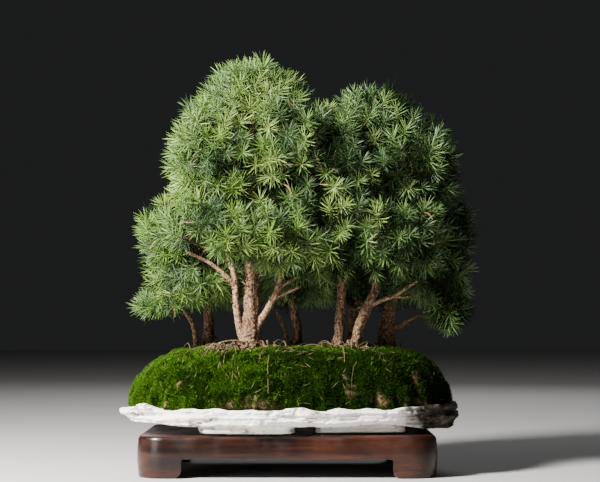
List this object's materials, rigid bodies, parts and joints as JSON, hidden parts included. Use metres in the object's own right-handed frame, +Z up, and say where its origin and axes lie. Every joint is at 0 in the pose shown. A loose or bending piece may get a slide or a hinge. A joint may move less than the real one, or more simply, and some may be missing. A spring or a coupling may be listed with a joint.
{
  "type": "spruce bonsai group planting",
  "caption": "Miniature forest of seven dwarf spruces in a moss mound on a white stone slab, standing on a low wooden stand with rounded corners.",
  "frame": {"origin": "centre of the bounding box at the underside of the stand's feet", "axes": "+Z up, -Y towards the front, +X to the right seen from the front"},
  "size_m": [0.3561, 0.2214, 0.4151],
  "materials": {
    "stand_wood": "dark red-brown lacquered hardwood, glossy",
    "stone": "white layered stone, rough and pitted",
    "moss": "living cushion moss over soil, matte",
    "bark": "flaky conifer bark, matte",
    "needles": "short stiff green needles on thin twigs"
  },
  "bodies": {
    "root": {"bough_far_left": "bark", "bough_far_right": "bark", "bough_main_left": "bark", "bough_main_right": "bark", "bough_right_fork_lower": "bark", "bough_right_fork_upper": "bark", "bough_right_lower": "bark", "bough_right_upper": "bark", "foliage_left_apex": "needles", "foliage_left_belly_1": "needles", "foliage_left_belly_2": "needles", "foliage_left_belly_3": "needles", "foliage_left_belly_4": "needles", "foliage_left_belly_5": "needles", "foliage_left_shoulder_1": "needles", "foliage_left_shoulder_2": "needles", "foliage_left_shoulder_3": "needles", "foliage_left_shoulder_4": "needles", "foliage_left_skirt_1": "needles", "foliage_left_skirt_2": "needles", "foliage_left_skirt_3": "needles", "foliage_left_skirt_4": "needles", "foliage_left_tuft": "needles", "foliage_right_apex": "needles", "foliage_right_belly_1": "needles", "foliage_right_belly_2": "needles", "foliage_right_belly_3": "needles", "foliage_right_belly_4": "needles", "foliage_right_belly_5": "needles", "foliage_right_shoulder_1": "needles", "foliage_right_shoulder_2": "needles", "foliage_right_shoulder_3": "needles", "foliage_right_shoulder_4": "needles", "foliage_right_skirt_1": "needles", "foliage_right_skirt_2": "needles", "foliage_right_skirt_3": "needles", "foliage_right_tuft": "needles", "moss_mound": "moss", "stand_apron_back": "stand_wood", "stand_apron_front": "stand_wood", "stand_apron_left": "stand_wood", "stand_apron_right": "stand_wood", "stand_board": "stand_wood", "stand_leg_back_left": "stand_wood", "stand_leg_back_right": "stand_wood", "stand_leg_front_left": "stand_wood", "stand_leg_front_right": "stand_wood", "stem_far_left": "bark", "stem_middle_left": "bark", "stone_slab": "stone", "trunk_front_right": "bark", "trunk_leaning": "bark", "trunk_main": "bark", "trunk_rear_left": "bark", "trunk_rear_middle": "bark", "trunk_rear_right": "bark", "trunk_rear_shaded": "bark"}
  },
  "joints": []
}
